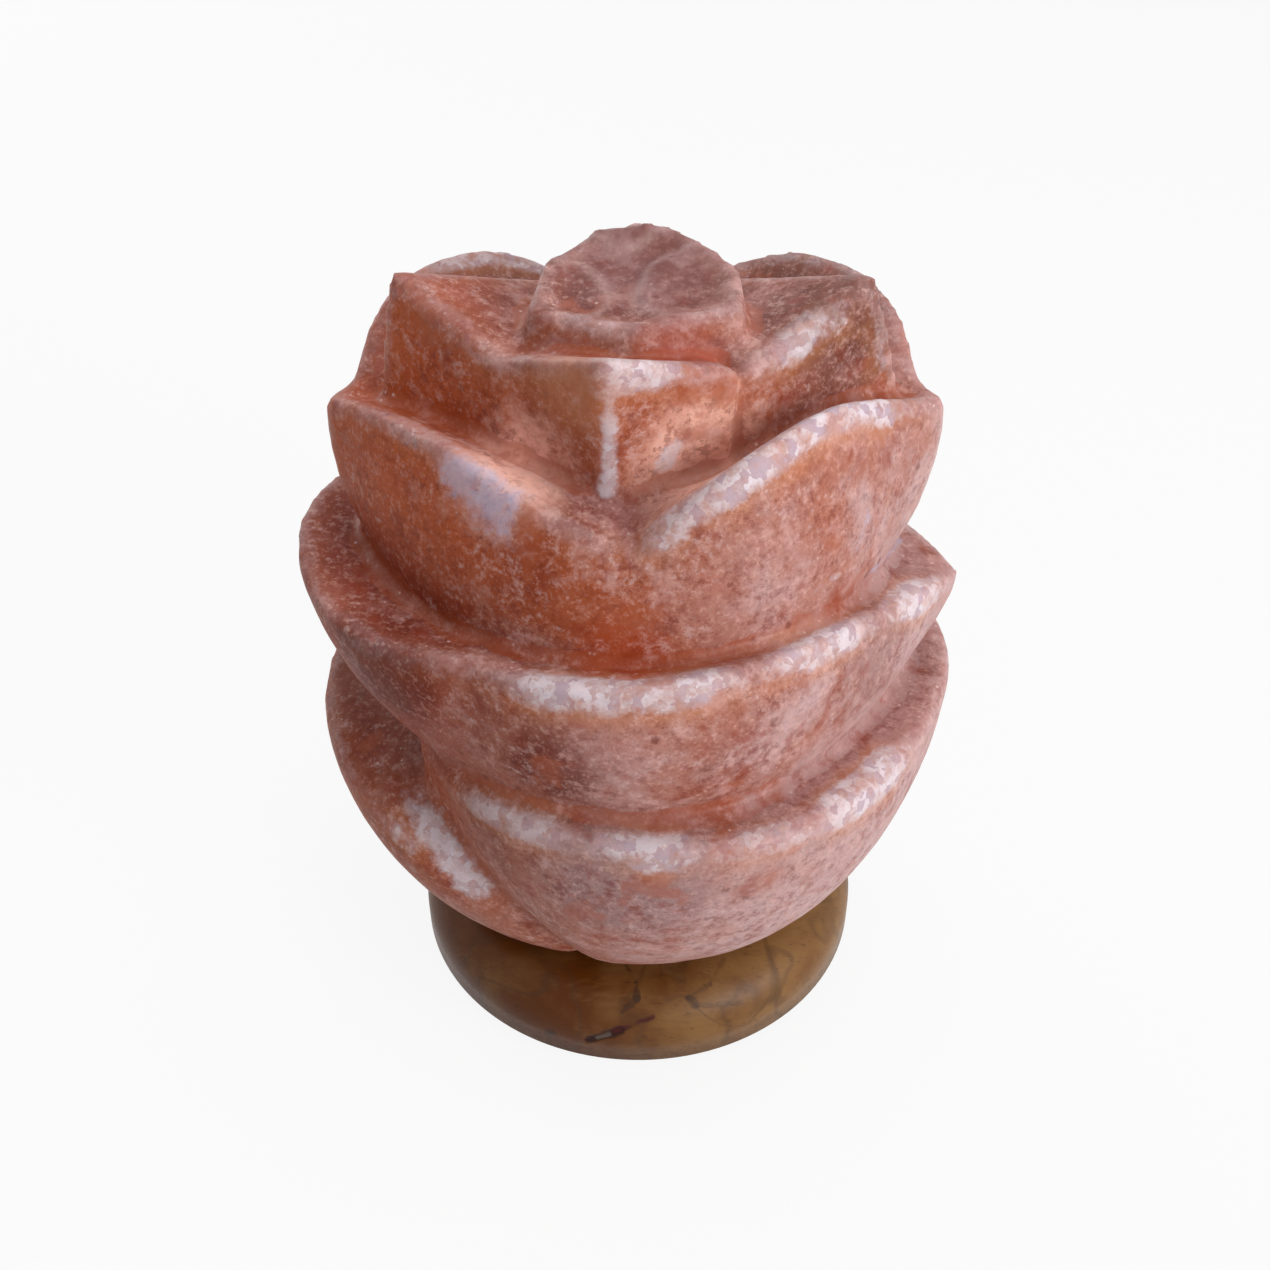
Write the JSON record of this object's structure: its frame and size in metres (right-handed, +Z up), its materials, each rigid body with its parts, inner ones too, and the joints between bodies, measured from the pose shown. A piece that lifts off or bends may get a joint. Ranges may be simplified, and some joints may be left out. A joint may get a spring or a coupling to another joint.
{
  "type": "salt crystal lamp",
  "caption": "Salt crystal lamp: a rose carved from rock salt on a round turned wooden base, lit from inside by a small bulb in a spring-clip holder that pulls out from below.",
  "frame": {"origin": "on the table, under the middle of the lamp's bounding box, which is the axis of the base to within a millimetre", "axes": "+Z up, the front of the rose looks along -Y and the cord channel leaves along +Y"},
  "size_m": [0.1337, 0.1208, 0.167],
  "materials": {
    "rock_salt": "carved and rubbed smooth, half clear, with milky veins",
    "turned_wood": "turned, oiled, dark figure",
    "foot_rubber": "matt",
    "zinc_screw": "yellow zinc",
    "nylon_plug": "moulded",
    "holder_plastic": "moulded, white",
    "block_ceramic": "unglazed",
    "brass": "stamped",
    "spring_steel": "rolled",
    "nickel_cap": "nickelled",
    "black_glass": "black glass",
    "solder": "soldered",
    "clear_glass": "clear",
    "stem_glass": "clear",
    "copper_wire": "drawn wire",
    "tungsten": "drawn wire"
  },
  "bodies": {
    "root": {"salt_rose": "rock_salt", "wooden_base": "turned_wood", "rubber_feet": "foot_rubber", "base_screws": "zinc_screw", "salt_plugs": "nylon_plug"},
    "holder": {"holder_cap": "holder_plastic", "holder_shell": "holder_plastic", "shell_lid": "holder_plastic", "terminal_block": "block_ceramic", "screw_sleeve": "brass", "terminal_plates": "brass", "terminal_screws": "brass", "clip_band": "spring_steel", "clip_rivets": "spring_steel"},
    "clip_right": {"clip_wing_right": "spring_steel"},
    "clip_left": {"clip_wing_left": "spring_steel"},
    "tongue": {"contact_tongue": "brass"},
    "bulb_tip": {"bulb_contact": "solder"},
    "bulb": {"bulb_cap": "nickel_cap", "bulb_insulator": "black_glass", "bulb_glass": "clear_glass", "bulb_stem": "stem_glass", "lead_wires": "copper_wire", "filament": "tungsten", "support_wires": "tungsten"}
  },
  "joints": [
    {"name": "holder_pull", "type": "slide", "parent": "root", "child": "holder", "axis": [0, 0, -1], "range_m": [0, 0.08]},
    {"name": "clip_right_flex", "type": "hinge", "parent": "holder", "child": "clip_right", "pos_m": [0.01585, 0, 0.0209], "axis": [0, -1, 0], "range_deg": [0, 6], "stiffness_Nm_per_rad": 0.05, "springref_deg": -8.59},
    {"name": "clip_left_flex", "type": "hinge", "parent": "holder", "child": "clip_left", "pos_m": [-0.01585, 0, 0.0209], "axis": [0, 1, 0], "range_deg": [0, 6], "stiffness_Nm_per_rad": 0.05, "springref_deg": -8.59},
    {"name": "tongue_flex", "type": "hinge", "parent": "holder", "child": "tongue", "pos_m": [-0.0022, 0, 0.0175], "axis": [0, 1, 0], "range_deg": [0, 4], "stiffness_Nm_per_rad": 0.01, "springref_deg": -11.46},
    {"name": "bulb_advance", "type": "slide", "parent": "holder", "child": "bulb_tip", "axis": [0, 0, 1], "range_m": [0, 0.0113]},
    {"name": "bulb_turn", "type": "hinge", "parent": "bulb_tip", "child": "bulb", "pos_m": [0, 0, 0.03], "axis": [0, 0, 1], "range_deg": [0, 1440]}
  ],
  "couplings": [
    {"joint": "bulb_advance", "follows": "bulb_turn", "m_per_rad": 0.00044882}
  ]
}
